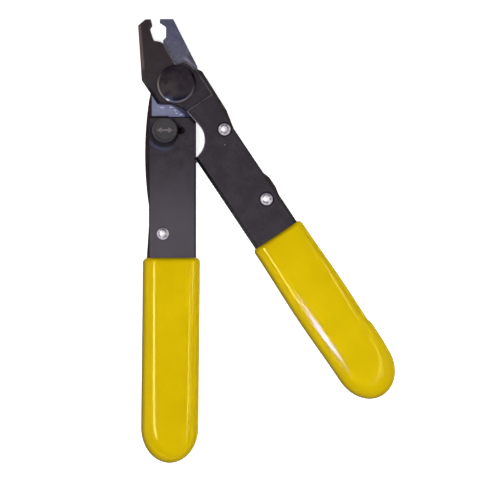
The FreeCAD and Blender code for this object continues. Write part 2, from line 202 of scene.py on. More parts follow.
# The front lever's painted shadow on the lap, above a level and a slope, and the bright scuffs below it
# (place, half length, half width)
LEVER_SHADOW_FROM = (-6.3, -4.7)
LEVER_SHADOW_LEVEL = -6.3
LEVER_SHADOW_SLOPE = -0.69
LEVER_SHADOW_SLOPE_LEVEL = -7.35
LEVER_SHADOW_SOFT = 0.25
SCUFFS = [
    (-4.26, -7.02, 0.65, 0.17),
    (-1.56, -6.96, 0.50, 0.18),
    (-0.30, -7.95, 0.35, 0.15),
    (0.10, -8.75, 0.40, 0.15),
    (1.38, -9.15, 0.50, 0.17),
]

# The bright line along the back lever's jaw, and the pale and dark bands at its root, each on a line turned
# by degrees
JAW_LINE_TURN = 31.2
JAW_LINE = (2.7, 3.3)
JAW_LINE_SOFT = 0.2
JAW_LINE_RUN = (5.0, 12.0)
JAW_LINE_FADE = 0.6
JAW_ROOT_TURN = 43.0
JAW_ROOT_PALE = (6.8, 7.7)
JAW_ROOT_SOFT = 0.35
JAW_ROOT_DARK = (7.8, 8.3)
JAW_ROOT_BELOW = (5.0, 3.0)

# Pivot head: the dark ring on its lower face, how its rim is painted as if lit from below and pales to the
# right, and its spots (place, half length, half width): the painted gleam, blue patches and the painted glint
PIVOT_RING = (4.1, 5.2)
PIVOT_RING_SOFT = 0.3
PIVOT_RING_BELOW = (-2.5, -4.0)
PIVOT_RIM_TILT = (0.4, 0.96)
PIVOT_RIM_SOFT = 0.05
PIVOT_SIDE_TILT = (0.4, 0.2)
PIVOT_RIM_SLOPE = 0.2
PIVOT_RIM_LIT = (4.0, -3.5)
PIVOT_RIM_PALES = (-2.0, 2.5)
PIVOT_GLEAM = (-2.2, -1.6, 3.0, 3.0)
PIVOT_BLUE_FACE = (-2.4, -4.5, 1.7, 1.0)
PIVOT_BLUE_RIM = (-2.0, -4.9, 2.6, 1.5)
PIVOT_GLINT = (-2.45, -4.65, 0.6, 0.6)

# Rivet heads, in shares of their radius, painted with their light: the grey ring of painted reflection, the
# white crown of painted highlight, the painted reflection at the top and the dark edge of painted shade. The
# crown's shift is in millimetres.
HEAD_RING = (0.48, 0.68)
HEAD_RING_SOFT = 0.08
HEAD_CROWN = (0.5, 0.3)
HEAD_CROWN_SHIFT = (-0.15, 0.2)
HEAD_TOP_FROM = 0.55
HEAD_EDGE = (0.86, 0.96)

# Grip skin: its shade grows with the face's tilt, is less on the side that the light comes from, and is
# weaker on upright walls
TILT_SHADE = 0.98
LIT_SHADE = 0.53
WALL_SHADE = 0.4
WALL_TILT = (0.05, 0.45)

# Colours of blackened plates
OXIDE_DARK = (0.029, 0.0225, 0.029)
OXIDE_PALE = (0.037, 0.032, 0.041)
OXIDE_RUBS = (0.06, 0.055, 0.062)
OXIDE_SPECKS = (0.014, 0.012, 0.016)
PAINTED_SHADE_TILTED = (0.008, 0.006, 0.009)
PAINTED_SHADE_BY_RIVET = (0.004, 0.002, 0.008)
BARE_AND_LIT_BEVEL = (0.1, 0.082, 0.078)
BARE_AND_LIT_EDGE = (0.36, 0.34, 0.36)
BARE_AND_LIT_EDGE_DULL = (0.15, 0.13, 0.13)
PAINTED_HANDLE_SHEEN = (0.063, 0.054, 0.066)
PAINTED_NUT_SHADOW = (0.011, 0.0105, 0.015)
PAINTED_ARC_REFLECTION = (0.045, 0.048, 0.09)
SHADED_LEFT = (0.01, 0.008, 0.012)
SHADED_PASSING = (0.004, 0.004, 0.006)
BROWN_LAP = (0.036, 0.0245, 0.026)
PUNCHED = (0.1, 0.095, 0.11)
PAINTED_JAW_GLEAM = (0.17, 0.122, 0.115)
SHADED_OUTER = (0.02, 0.0145, 0.0135)
SHADED_TANG = (0.012, 0.009, 0.014)

# Colours of the back lever
JAW_DARK = (0.075, 0.072, 0.117)
JAW_PALE = (0.1, 0.096, 0.15)
JAW_GREY = (0.105, 0.11, 0.14)
GRIND_LINES = (0.15, 0.145, 0.2)
SPECKLE_PALE = (0.2, 0.2, 0.23)
SPECKLE_DARK = (0.05, 0.047, 0.08)
LAP_DARK = (0.14, 0.146, 0.222)
LAP_PALE = (0.185, 0.193, 0.3)
LAP_SHADED = (0.06, 0.064, 0.12)
SHADED_LAP_END = (0.02, 0.02, 0.035)
PAINTED_LEVER_SHADOW = (0.03, 0.03, 0.06)
SCUFFED = (0.42, 0.42, 0.58)
BRIGHT_LINE = (0.36, 0.33, 0.44)
PALE_ROOT = (0.195, 0.18, 0.235)
DARK_ROOT = (0.07, 0.063, 0.08)
BACK_DARK = (0.02, 0.012, 0.014)
BACK_PALE = (0.027, 0.02, 0.023)

# Colours of the pivot head
PIVOT_DARK = (0.021, 0.0155, 0.019)
PIVOT_PALE = (0.03, 0.0235, 0.028)
PIVOT_STREAKS = (0.015, 0.01, 0.02)
PIVOT_SIDE = (0.02, 0.018, 0.02)
GLEAMING = (0.046, 0.037, 0.037)
DARK_RING = (0.004, 0.006, 0.018)
BLUE_FACE = (0.05, 0.055, 0.095)
WARM_RIM = (0.2, 0.175, 0.165)
PALE_RIM = (0.3, 0.265, 0.28)
BLUE_RIM = (0.19, 0.205, 0.31)
PAINTED_GLINT = (0.95, 0.97, 1.0)

# Colours of the rivet heads and the hidden steel and bronze
HEAD_DARK = (0.5, 0.45, 0.52)
HEAD_PALE = (0.78, 0.72, 0.79)
REFLECTED_GREY_RING = (0.16, 0.13, 0.17)
HIGHLIGHT_CROWN = (0.98, 0.95, 0.97)
REFLECTED_VIOLET_TOP = (0.28, 0.22, 0.42)
SHADED_HEAD_EDGE = (0.03, 0.022, 0.04)
PLAIN_STEEL = (0.4, 0.4, 0.42)
SPRING_STEEL = (0.2, 0.2, 0.21)
BRONZE = (0.5, 0.33, 0.14)

# Colours of the nut, its arrow, the grips and the floor
KNOB_DARK = (0.02, 0.0145, 0.019)
KNOB_PALE = (0.028, 0.0215, 0.0265)
PRINT_DARK = (0.09, 0.075, 0.08)
PRINT_PALE = (0.2, 0.165, 0.175)
YELLOW_DARK = (0.77, 0.53, 0.0015)
YELLOW_PALE = (0.82, 0.57, 0.002)
YELLOW_SHADED = (0.15, 0.105, 0.004)
YELLOW_SPECKS = (0.45, 0.32, 0.03)
FLOOR_DARK = (0.9, 0.9, 0.9)
FLOOR_PALE = (0.93, 0.93, 0.93)

# Floor and surroundings
FLOOR_HALF = 2000.0
FLOOR_LEVEL = -0.02
WORLD_COLOUR = (0.95, 0.97, 1.0, 1)
WORLD_STRENGTH = 0.1

# Lamps: places, aims and sizes (across, along) are in metres. Places and aims start from the picture's
# middle.
LAMP_HEIGHT = 0.6

# Lamps that draw the thin bright lines on the grips: place, size, brightness, direction, aim and spread in
# degrees
GLINT_LAMPS = [
    ("left_strip", (-0.176, -0.02), (0.035, 0.234), 36.0, (-0.48, 0.87), (0.0, 0.0), 180.0),
    ("mouth_strip", (-0.13, 0.16), (0.03, 0.13), 30.0, (0.83, 0.55), (0.005, 0.003), 14.0),
    ("right_strip", (0.327, 0.177), (0.016, 0.2), 25.0, (0.712, 0.702), (0.030, -0.016), 50.0),
    ("right_end_strip", (0.15, -0.05), (0.014, 0.28), 48.0, (0.53, 0.85), (0.036, -0.038), 30.0),
    ("left_strip_end", (0.177, -0.103), (0.02, 0.136), 21.0, (0.63, 0.77), (-0.019, -0.053), 24.0),
    ("left_glint", (0.31, -0.012), (0.06, 0.03), 42.0, (0.0, 1.0), (-0.0174, -0.0125), 20.0),
]

# A row of small lamps for the white gleam on the right grip's inner side, blue because the yellow skin takes
# blue out of what it mirrors
SPOT_LAMPS = 4
SPOT_PLACE = (-0.07, -0.108)
SPOT_ALONG = (0.83, 0.555)
SPOT_SIZE = (0.02, 0.024)
SPOT_BRIGHTNESS = 380.0
SPOT_AIM = (0.0226, -0.0261)
SPOT_SPREAD = 5.0
SPOT_TINT = (0.14, 0.17, 1.0)

# Large soft panels: place, brightness and direction
PANEL_SIZE = (0.35, 0.8)
PANELS = [
    ("left_panel", (-0.5, 0, 0.5), 1.4, (0, 1, 0)),
    ("right_panel", (0.6, -0.1, 0.5), 1.18, (0, 1, 0)),
    ("front_panel", (0, -0.55, 0.45), 1.1, (1, 0, 0)),
]

# A Mix node's sockets when it mixes colours
MIX_FACTOR, MIX_A, MIX_B, MIX_RESULT = 0, 6, 7, 2

# Where an oval spot fades, by the square of the distance from its middle in half widths
OVAL_FADE = (1.3, 0.4)


class Value:
    """A socket of a finish. Arithmetic on it adds Math nodes."""

    def __init__(self, finish, socket):
        self.finish = finish
        self.socket = socket

    def maths(self, operation, *terms):
        return self.finish.node("ShaderNodeMath", {"operation": operation}, dict(enumerate(terms)))

    def __add__(self, other):
        return self.maths("ADD", self, other)

    def __radd__(self, other):
        return self.maths("ADD", other, self)

    def __sub__(self, other):
        return self.maths("SUBTRACT", self, other)

    def __rsub__(self, other):
        return self.maths("SUBTRACT", other, self)

    def __mul__(self, other):
        return self.maths("MULTIPLY", self, other)

    def __rmul__(self, other):
        return self.maths("MULTIPLY", other, self)

    def __truediv__(self, other):
        return self.maths("DIVIDE", self, other)

    def __rtruediv__(self, other):
        return self.maths("DIVIDE", other, self)

    def __pow__(self, other):
        return self.maths("POWER", self, other)

    def __abs__(self):
        return self.maths("ABSOLUTE", self)


class Finish:
    """A material under construction, with its place in millimetres on the part."""

    def __init__(self, name, turn=0.0, **constants):
        self.material = bpy.data.materials.new(name)
        self.material.use_nodes = True
        self.tree = self.material.node_tree
        self.shader = self.tree.nodes["Principled BSDF"]
        for socket, number in constants.items():
            self.shader.inputs[socket.replace("_", " ")].default_value = number
        origin = self.node("ShaderNodeTexCoord", output="Object")
        scaled = {"Vector": origin, "Rotation": (0, 0, -turn), "Scale": (1 / MM,) * 3}
        self.place = self.node("ShaderNodeMapping", {"vector_type": "POINT"}, scaled)
        self.x, self.y, self.z = self.parts(self.place)
        facing = self.node("ShaderNodeTexCoord", output="Normal")
        turned = {"Vector": facing, "Rotation": (0, 0, -turn)}
        normal = self.node("ShaderNodeMapping", {"vector_type": "NORMAL"}, turned)
        self.face_x, self.face_y, self.face_z = self.parts(normal)

    def node(self, kind, settings=None, inputs=None, output=0):
        """A new node: its settings are set first, then its sockets are set or linked."""
        made = self.tree.nodes.new(kind)
        for name, setting in (settings or {}).items():
            setattr(made, name, setting)
        for name, given in (inputs or {}).items():
            self.feed(made.inputs[name], given)
        return Value(self, made.outputs[output])

    def feed(self, socket, given):
        if isinstance(given, Value):
            self.tree.links.new(given.socket, socket)
        else:
            socket.default_value = given

    def parts(self, vector):
        split = self.node("ShaderNodeSeparateXYZ", None, {"Vector": vector}).socket.node
        return [Value(self, socket) for socket in split.outputs]

    def noise(self, per_mm, detail=3.0, rough=0.5, stretch=(1, 1, 1), shift=(0, 0, 0)):
        """Clouds, grain or streaks from 0 to 1, so many to the millimetre."""
        stretched = {"Vector": self.place, "Scale": stretch, "Location": shift}
        at = self.node("ShaderNodeMapping", {"vector_type": "POINT"}, stretched)
        inputs = {"Vector": at, "Scale": per_mm, "Detail": detail, "Roughness": rough}
        return self.node("ShaderNodeTexNoise", {"noise_dimensions": "3D"}, inputs)

    def ease(self, value, low, high):
        """0 below low and 1 above high, or the other way round where low is the greater."""
        inputs = {"Value": value, "From Min": low, "From Max": high}
        return self.node("ShaderNodeMapRange", {"interpolation_type": "SMOOTHSTEP"}, inputs)

    def band(self, value, low, high, soft):
        """1 between low and high, fading over soft on both sides."""
        return self.ease(value, low - soft, low + soft) * self.ease(value, high + soft, high - soft)

    def from_point(self, x, y):
        """The distance from a point, seen from above."""
        return ((self.x - x) ** 2 + (self.y - y) ** 2) ** 0.5

    def turned(self, degrees):
        """The place across and along a line turned by an angle."""
        c, s = math.cos(math.radians(degrees)), math.sin(math.radians(degrees))
        return self.x * c + self.y * s, self.y * c - self.x * s

    def spot(self, x, y, half_x, half_y):
        """1 at a point, fading out over an oval round it."""
        out = ((self.x - x) / half_x) ** 2 + ((self.y - y) / half_y) ** 2
        return self.ease(out, *OVAL_FADE)

    def mix(self, factor, a, b):
        inputs = {MIX_FACTOR: factor, MIX_A: self.rgba(a), MIX_B: self.rgba(b)}
        return self.node("ShaderNodeMix", {"data_type": "RGBA"}, inputs, MIX_RESULT)

    def rgba(self, colour):
        return colour if isinstance(colour, Value) else (*colour, 1.0)

    def bump(self, height, distance_mm):
        inputs = {"Height": height, "Distance": distance_mm * MM, "Strength": 1.0}
        self.feed(self.shader.inputs["Normal"], self.node("ShaderNodeBump", None, inputs))

    def paint(self, **sockets):
        """Feeds sockets of the shader, whose names have underscores here for spaces."""
        for name, given in sockets.items():
            self.feed(self.shader.inputs[name.replace("_", " ")], given)
        return self.material


def black_oxide(name, rivets, turn=0.0, rubbed_and_lit_from=ABOVE_ALL):
    """Blackened plate: brown-black, mottled, with painted shade round its rivets and on its tilted faces.
    Above a level its edges are rubbed bare and painted with a highlight.
    """
    f = Finish(name, turn)
    mottle = f.noise(0.22, 4.0, 0.6)
    grain = f.noise(9.0, 2.0)
    rubs = f.noise(1.4, 3.0, 0.6, stretch=(2.2, 0.12, 1))
    specks = f.noise(0.9, 3.0, 0.65, shift=(4, 9, 2))
    base = f.mix(f.ease(mottle, 0.35, 0.68), OXIDE_DARK, OXIDE_PALE)
    base = f.mix(f.ease(rubs, 0.56, 0.78) * 0.4, base, OXIDE_RUBS)
    base = f.mix(f.ease(specks, 0.56, 0.7) * 0.5, base, OXIDE_SPECKS)
    # Painted shade: every face that does not look straight up is painted darker
    base = f.mix(f.ease(abs(f.face_z), *TILTED), base, PAINTED_SHADE_TILTED)
    # Painted shade round each rivet's head
    for rivet in rivets:
        low, high = handle_box(rivet, turn)
        middle = (low + high) / 2
        out = f.from_point(middle.x, middle.y) - (high.x - low.x) / 2
        base = f.mix(f.ease(out, *RIVET_SHADE), base, PAINTED_SHADE_BY_RIVET)
    # Edges and bevels rubbed bare, and also painted paler as a highlight where they catch the light
    rubbed_and_lit = f.ease(f.y, rubbed_and_lit_from - RUBBED_AND_LIT_FADE, rubbed_and_lit_from)
    bevel = f.band(f.face_z, *BEVEL_TILT, TILT_SOFT) * rubbed_and_lit * f.ease(f.y, *BEVELS_BARE_AND_LIT)
    base = f.mix(bevel, base, BARE_AND_LIT_BEVEL)
    shielded = f.ease(f.z, *SHIELD_HEIGHT) * f.ease(f.y, *SHIELD_BELOW)
    # Painted edge highlight on the rubbed bare edges
    worn = f.band(f.face_z, *EDGE_TILT, TILT_SOFT) * rubbed_and_lit
    worn = worn * f.ease(grain + mottle, 0.6, 1.1) * (1 - shielded)
    worn_and_lit_colour = f.mix(f.band(f.y, *DULL_EDGE, DULL_EDGE_SOFT), BARE_AND_LIT_EDGE, BARE_AND_LIT_EDGE_DULL)
    base = f.mix(worn, base, worn_and_lit_colour)
    rough = 0.36 + 0.14 * mottle + 0.08 * grain
    f.bump(grain + 1.5 * rubs, 0.012)
    f.paint(Metallic=0.85 - 0.7 * worn)
    return f, base, rough


def left_plate():
    """The left cover, with the nut's painted shadow, a bluish arc of painted reflection by the nut, and a
    painted sheen down its handle.
    """
    f, base, rough = black_oxide("left_black_steel", ["left_handle_rivet"])
    low, high = node_box("stop_knob")
    nut = (low + high) / 2
    # Painted sheen: the handle grows paler towards its end
    base = f.mix(f.ease(f.y, *HANDLE_PALES), base, PAINTED_HANDLE_SHEEN)
    # Painted shadow of the nut: a dark disc a little below it
    from_nut_shadow = f.from_point(nut.x + NUT_SHADOW_SHIFT[0], nut.y + NUT_SHADOW_SHIFT[1])
    base = f.mix(f.ease(from_nut_shadow, *NUT_SHADOW_RADII), base, PAINTED_NUT_SHADOW)
    # Painted reflection: a bluish arc below and to the left of the nut
    arc = f.band(f.from_point(nut.x, nut.y), *NUT_ARC, NUT_ARC_SOFT)
    arc = arc * f.ease(f.y - nut.y, *NUT_ARC_BELOW) * f.ease(f.x - nut.x, *NUT_ARC_LEFT)
    base = f.mix(arc, base, PAINTED_ARC_REFLECTION)
    edges = f.ease(f.x, *RIGHT_EDGE_SHADE) + f.ease(f.x, *LEFT_EDGE_SHADE)
    base = f.mix(edges * f.ease(f.y, *EDGE_SHADE_BELOW), base, SHADED_LEFT)
    start, out = PASSING_SHADE_FROM, PASSING_SHADE_OUT
    passing = (f.x - start[0]) * out[0] + (f.y - start[1]) * out[1]
    passing = f.ease(passing, *PASSING_SHADE_WIDTH) * f.ease(abs(f.face_z), *PASSING_SHADE_TILT)
    base = f.mix(passing, base, SHADED_PASSING)
    return f.paint(Base_Color=base, Roughness=rough)


def right_plate():
    """The front lever and the right cover, with a brown lap and a painted highlight along the jaw's outer
    side.
    """
    rivets = ["right_upper_rivet", "right_lower_rivet"]
    f, base, rough = black_oxide("right_black_steel", rivets, OPEN_ANGLE, RUBBED_AND_LIT_FROM)
    base = f.mix(f.ease(f.y, *LAP_BROWNS) * 0.6, base, BROWN_LAP)
    base = f.mix(f.spot(*PUNCH_MARK), base, PUNCHED)
    # Painted highlight along the jaw's rounded outer edge
    across, _ = f.turned(JAW_GLEAM_TURN)
    jaw_gleam = f.ease(across - JAW_GLEAM_EDGE, *JAW_GLEAM_WIDTH) * f.ease(f.y, *JAW_GLEAM_FROM)
    base = f.mix(jaw_gleam * f.ease(f.face_z, *JAW_GLEAM_TILT), base, PAINTED_JAW_GLEAM)
    outer_edge = OUTER_EDGE + OUTER_EDGE_WIDENS * f.ease(f.y, *OUTER_EDGE_WIDER)
    outer = f.ease(f.x - outer_edge, *OUTER_SHADE) * f.ease(f.y, *OUTER_SHADE_BELOW)
    base = f.mix(outer, base, SHADED_OUTER)
    tang = f.ease(f.x, *TANG_SHADE) * f.ease(f.y, *TANG_SHADE_BELOW)
    base = f.mix(tang, base, SHADED_TANG)
    return f.paint(Base_Color=base, Roughness=rough)


def ground_steel():
    """Bare ground steel on the back lever's jaw and lap, blackened below and at the sides."""
    f = Finish("ground_steel", Metallic=1.0)
    grind = f.noise(1.1, 4.0, 0.65, stretch=(9, 0.35, 1))
    cloud = f.noise(0.3, 3.0)
    speckle = f.noise(2.2, 3.0, 0.65, shift=(3, 5, 0))
    clouded = f.ease(cloud, 0.3, 0.7)
    jaw = f.mix(clouded, JAW_DARK, JAW_PALE)
    jaw = f.mix(f.ease(f.y, *JAW_GREYS) * 0.7, jaw, JAW_GREY)
    jaw = f.mix(f.ease(grind, 0.5, 0.8) * 0.4, jaw, GRIND_LINES)
    jaw = f.mix(f.ease(speckle, 0.52, 0.75) * 0.5, jaw, SPECKLE_PALE)
    jaw = f.mix(f.ease(speckle, 0.45, 0.3) * 0.4, jaw, SPECKLE_DARK)
    lap = f.mix(clouded, LAP_DARK, LAP_PALE)
    # Painted shade: the lap darkens to the right, nearly black at its end between the front lever and the
    # left cover
    lap = f.mix(f.ease(f.x, *LAP_DARKENS) * 0.6, lap, LAP_SHADED)
    lap = f.mix(f.ease(f.x, *LAP_ENDS), lap, SHADED_LAP_END)
    on_lap = f.ease(f.y, *LAP_FROM)
    bare = f.mix(on_lap, jaw, lap)
    # Painted shadow of the front lever on the lap, above a level and a slope
    clear = f.ease(f.y - LEVER_SHADOW_LEVEL, LEVER_SHADOW_SOFT, -LEVER_SHADOW_SOFT)
    clear = clear * f.ease(f.y - LEVER_SHADOW_SLOPE * f.x - LEVER_SHADOW_SLOPE_LEVEL, LEVER_SHADOW_SOFT, -LEVER_SHADOW_SOFT)
    lever_shadow = on_lap * (1 - clear) * f.ease(f.x, *LEVER_SHADOW_FROM)
    bare = f.mix(lever_shadow * 0.9, bare, PAINTED_LEVER_SHADOW)
    across, along = f.turned(JAW_LINE_TURN)
    line = f.band(across, *JAW_LINE, JAW_LINE_SOFT) * f.band(along, *JAW_LINE_RUN, JAW_LINE_FADE)
    bare = f.mix(line, bare, BRIGHT_LINE)
    across, along = f.turned(JAW_ROOT_TURN)
    root = f.ease(along, *JAW_ROOT_BELOW)
    bare = f.mix(f.band(across, *JAW_ROOT_PALE, JAW_ROOT_SOFT) * root, bare, PALE_ROOT)
    bare = f.mix(f.ease(across, *JAW_ROOT_DARK) * root, bare, DARK_ROOT)
    for scuff in SCUFFS:
        bare = f.mix(f.spot(*scuff), bare, SCUFFED)
    black = f.mix(f.ease(cloud, 0.35, 0.68), BACK_DARK, BACK_PALE)
    bottom = GROUND_BOTTOM - GROUND_STEP * f.ease(f.x, *GROUND_STEP_AT)
    ground = f.ease(f.y - bottom, -GROUND_SOFT, GROUND_SOFT) * f.ease(f.x, *GROUND_LEFT)
    base = f.mix(ground * f.ease(f.face_z, *GROUND_TILT), black, bare)
    f.bump(grind, 0.01)
    return f.paint(Base_Color=base, Roughness=0.36 + 0.12 * grind)


def pivot_steel():
    """Turned head: a blackened face with a painted gleam on it, and a rim painted bright on its lower side,
    as if lit from below, with a painted glint.
    """
    f = Finish("pivot_steel")
    radius = f.from_point(0, 0)
    cloud = f.noise(0.5, 3.0)
    rings = f.node("ShaderNodeTexNoise", {"noise_dimensions": "1D"}, {"W": radius, "Scale": 7.0})
    streaks = f.noise(0.4, 3.0, 0.6, shift=(2, 7, 0))
    base = f.mix(f.ease(cloud, 0.3, 0.7), PIVOT_DARK, PIVOT_PALE)
    # Painted gleam on the face
    base = f.mix(f.spot(*PIVOT_GLEAM) * 0.6, base, GLEAMING)
    base = f.mix(f.ease(streaks, 0.5, 0.68) * 0.7, base, PIVOT_STREAKS)
    ring = f.band(radius, *PIVOT_RING, PIVOT_RING_SOFT) * f.ease(f.y, *PIVOT_RING_BELOW)
    base = f.mix(ring, base, DARK_RING)
    base = f.mix(f.spot(*PIVOT_BLUE_FACE) * 0.6, base, BLUE_FACE)
    # Painted light: the rim is painted bright on its lower side, with a white glint
    rim = f.band(f.face_z, *PIVOT_RIM_TILT, PIVOT_RIM_SOFT)
    lit_rim = rim * f.ease(f.y + PIVOT_RIM_SLOPE * f.x, *PIVOT_RIM_LIT)
    rim_colour = f.mix(f.ease(f.x, *PIVOT_RIM_PALES), WARM_RIM, PALE_RIM)
    rim_colour = f.mix(f.spot(*PIVOT_BLUE_RIM), rim_colour, BLUE_RIM)
    base = f.mix(lit_rim, base, rim_colour)
    base = f.mix(rim * f.spot(*PIVOT_GLINT), base, PAINTED_GLINT)
    base = f.mix(f.ease(abs(f.face_z), *PIVOT_SIDE_TILT), base, PIVOT_SIDE)
    f.bump(rings + 0.4 * cloud, 0.01)
    return f.paint(Base_Color=base, Roughness=0.3 + 0.15 * cloud, Metallic=1 - 0.6 * lit_rim)


def bright_rivet(node):
    """A domed head painted with its light: a white crown of painted highlight, a greyer ring and a violet top
    of painted reflection, a pale rim and a dark edge of painted shade.
    """
    f = Finish(node + "_steel", Metallic=0.5)
    low, high = node_box(node)
    middle = (low + high) / 2
    head_radius = (high.x - low.x) / 2
    radius = f.from_point(middle.x, middle.y) / head_radius
    cloud = f.noise(1.3, 3.0)
    grain = f.noise(9.0, 2.0)
    base = f.mix(f.ease(cloud, 0.35, 0.65), HEAD_DARK, HEAD_PALE)
    # Painted reflection: a grey ring and a violet top; painted highlight: a white crown; painted shade: the
    # dark edge
    ring = f.band(radius, *HEAD_RING, HEAD_RING_SOFT) * f.ease(cloud, 0.62, 0.42)
    base = f.mix(ring, base, REFLECTED_GREY_RING)
    crown = f.from_point(middle.x + HEAD_CROWN_SHIFT[0], middle.y + HEAD_CROWN_SHIFT[1]) / head_radius
    base = f.mix(f.ease(crown, *HEAD_CROWN), base, HIGHLIGHT_CROWN)
    top = f.ease(f.y - middle.y, HEAD_TOP_FROM * head_radius, head_radius)
    base = f.mix(top * 0.7, base, REFLECTED_VIOLET_TOP)
    base = f.mix(f.ease(radius, *HEAD_EDGE), base, SHADED_HEAD_EDGE)
    f.bump(cloud + 0.3 * grain, 0.003)
    return f.paint(Base_Color=base, Roughness=0.32 + 0.1 * cloud)


def plain_steel(name, colour, roughness):
    """Metal that is hardly seen: one colour, a little darker in clouds."""
    f = Finish(name, Metallic=1.0)
    cloud = f.noise(0.9, 3.0)
    grain = f.noise(8.0, 2.0)
    darker = tuple(0.7 * part for part in colour)
    base = f.mix(f.ease(cloud, 0.3, 0.7), darker, colour)
    f.bump(grain, 0.01)
    return f.paint(Base_Color=base, Roughness=roughness + 0.15 * cloud)


def black_knob():
    """The nut's moulded black."""
    f = Finish("black_knob")
    cloud = f.noise(0.6, 3.0)
    grain = f.noise(10.0, 2.0)
    base = f.mix(f.ease(cloud, 0.3, 0.7), KNOB_DARK, KNOB_PALE)
    f.bump(grain, 0.02)
    return f.paint(Base_Color=base, Roughness=0.42 + 0.15 * grain)


def knob_print():
    """The worn grey of the arrow."""
    f = Finish("knob_print")
    worn = f.noise(4.0, 3.0, 0.6)
    base = f.mix(f.ease(worn, 0.38, 0.62), PRINT_DARK, PRINT_PALE)
    return f.paint(Base_Color=base, Roughness=0.5 + 0.2 * worn)


def yellow_grip(name, turn=0.0):
    """Dipped vinyl: one glossy skin, browner where it turns down away from the light."""
    f = Finish(name, turn, Specular_IOR_Level=0.15, Specular_Tint=(1.0, 0.93, 0.33, 1.0))
    cloud = f.noise(0.1, 3.0)
    peel = f.noise(0.45, 2.0)
    specks = f.ease(f.noise(2.2, 2.0, shift=(7, 3, 1)), 0.72, 0.78)
    base = f.mix(f.ease(cloud, 0.3, 0.7), YELLOW_DARK, YELLOW_PALE)
    lit_from = OPEN_ANGLE - turn
    lit = f.face_x * math.cos(lit_from) + f.face_y * math.sin(lit_from)
    tilt = (1 - f.face_z * f.face_z) ** 0.5
    shade = tilt * (TILT_SHADE * tilt - LIT_SHADE * lit)
    wall = WALL_SHADE + (1 - WALL_SHADE) * f.ease(abs(f.face_z), *WALL_TILT)
    base = f.mix(shade * wall, base, YELLOW_SHADED)
    base = f.mix(specks * 0.35, base, YELLOW_SPECKS)
    f.bump(peel, 0.003)
    return f.paint(Base_Color=base, Roughness=0.05 + 0.06 * cloud)


def pale_floor():
    """A white floor with a glow of its own."""
    f = Finish("pale_floor", Roughness=0.9, Emission_Color=(1, 1, 1, 1), Emission_Strength=0.85)
    cloud = f.noise(0.01, 2.0)
    return f.paint(Base_Color=f.mix(cloud, FLOOR_DARK, FLOOR_PALE))


def new_piece(name, bm, material, smooth=True):
    """A piece in metres from a mesh drawn in millimetres."""
    bmesh.ops.remove_doubles(bm, verts=bm.verts, dist=WELD)
    bmesh.ops.recalc_face_normals(bm, faces=bm.faces)
    bmesh.ops.scale(bm, vec=(MM, MM, MM), verts=bm.verts)
    mesh = bpy.data.meshes.new(name)
    bm.to_mesh(mesh)
    bm.free()
    if smooth:
        mesh.shade_smooth()
    else:
        mesh.shade_flat()
    mesh.materials.append(material)
    piece = bpy.data.objects.new(name, mesh)
    bpy.context.collection.objects.link(piece)
    return piece


def loft(bm, rings, closed=True):
    """Quads between rings of points, returned as rings of vertices."""
    rows = [[bm.verts.new(point) for point in ring] for ring in rings]
    for row, after in zip(rows, rows[1:]):
        last = len(row) if closed else len(row) - 1
        for i in range(last):
            j = (i + 1) % len(row)
            bm.faces.new((row[i], row[j], after[j], after[i]))
    return rows


def capped(rings):
    """A mesh of rings, closed at both ends."""
    bm = bmesh.new()
    rows = loft(bm, rings)
    bm.faces.new(rows[0])
    bm.faces.new(rows[-1])
    return bm


def node_box(node):
    """Lowest and highest corners of a node."""
    return [Vector(corner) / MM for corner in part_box(node)]


def handle_box(node, turn, below=math.inf):
    """Lowest and highest corners of a node, or of its end below a level, with its handle straight down."""
    back = Matrix.Rotation(-turn, 3, "Z")
    points = [back @ vertex.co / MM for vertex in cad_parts[node].data.vertices]
    points = [point for point in points if point.y < below]
    low = Vector(min(p[i] for p in points) for i in range(3))
    high = Vector(max(p[i] for p in points) for i in range(3))
    return low, high


def half_section(width, height, squareness):
    """Top middle to bottom middle of a rounded section, as (out, up), closer where it turns."""
    fine = []
    for i in range(OUTLINE_STEPS + 1):
        angle = math.pi / 2 - math.pi * i / OUTLINE_STEPS
        out = max(math.cos(angle), 0.0) ** (2 / squareness) * width
        up = math.copysign(abs(math.sin(angle)) ** (2 / squareness), math.sin(angle)) * height
        fine.append((out, up))
    run = [0.0]
    for a, b, c in zip(fine, fine[1:], fine[2:] + fine[-1:]):
        bend = math.atan2(b[1] - a[1], b[0] - a[0]) - math.atan2(c[1] - b[1], c[0] - b[0])
        turn = abs((bend + math.pi) % (2 * math.pi) - math.pi) if c != b else 0.0
        run.append(run[-1] + math.dist(a, b) + height * turn)
    picked = []
    for k in range(SECTION_STEPS + 1):
        want = run[-1] * k / SECTION_STEPS
        picked.append(fine[min(range(len(run)), key=lambda i: abs(run[i] - want))])
    return picked


def smooth_step(value, low, high):
    part = min(max((value - low) / (high - low), 0.0), 1.0)
    return part * part * (3 - 2 * part)


def drip_bulge(y):
    """How far the drip stands out: a short shoulder at its top, then a long fade."""
    shoulder = smooth_step(y, DRIP_TOP, DRIP_TOP - DRIP_SHOULDER)
    return DRIP_PROUD * shoulder * smooth_step(y, DRIP_END, DRIP_FADE)


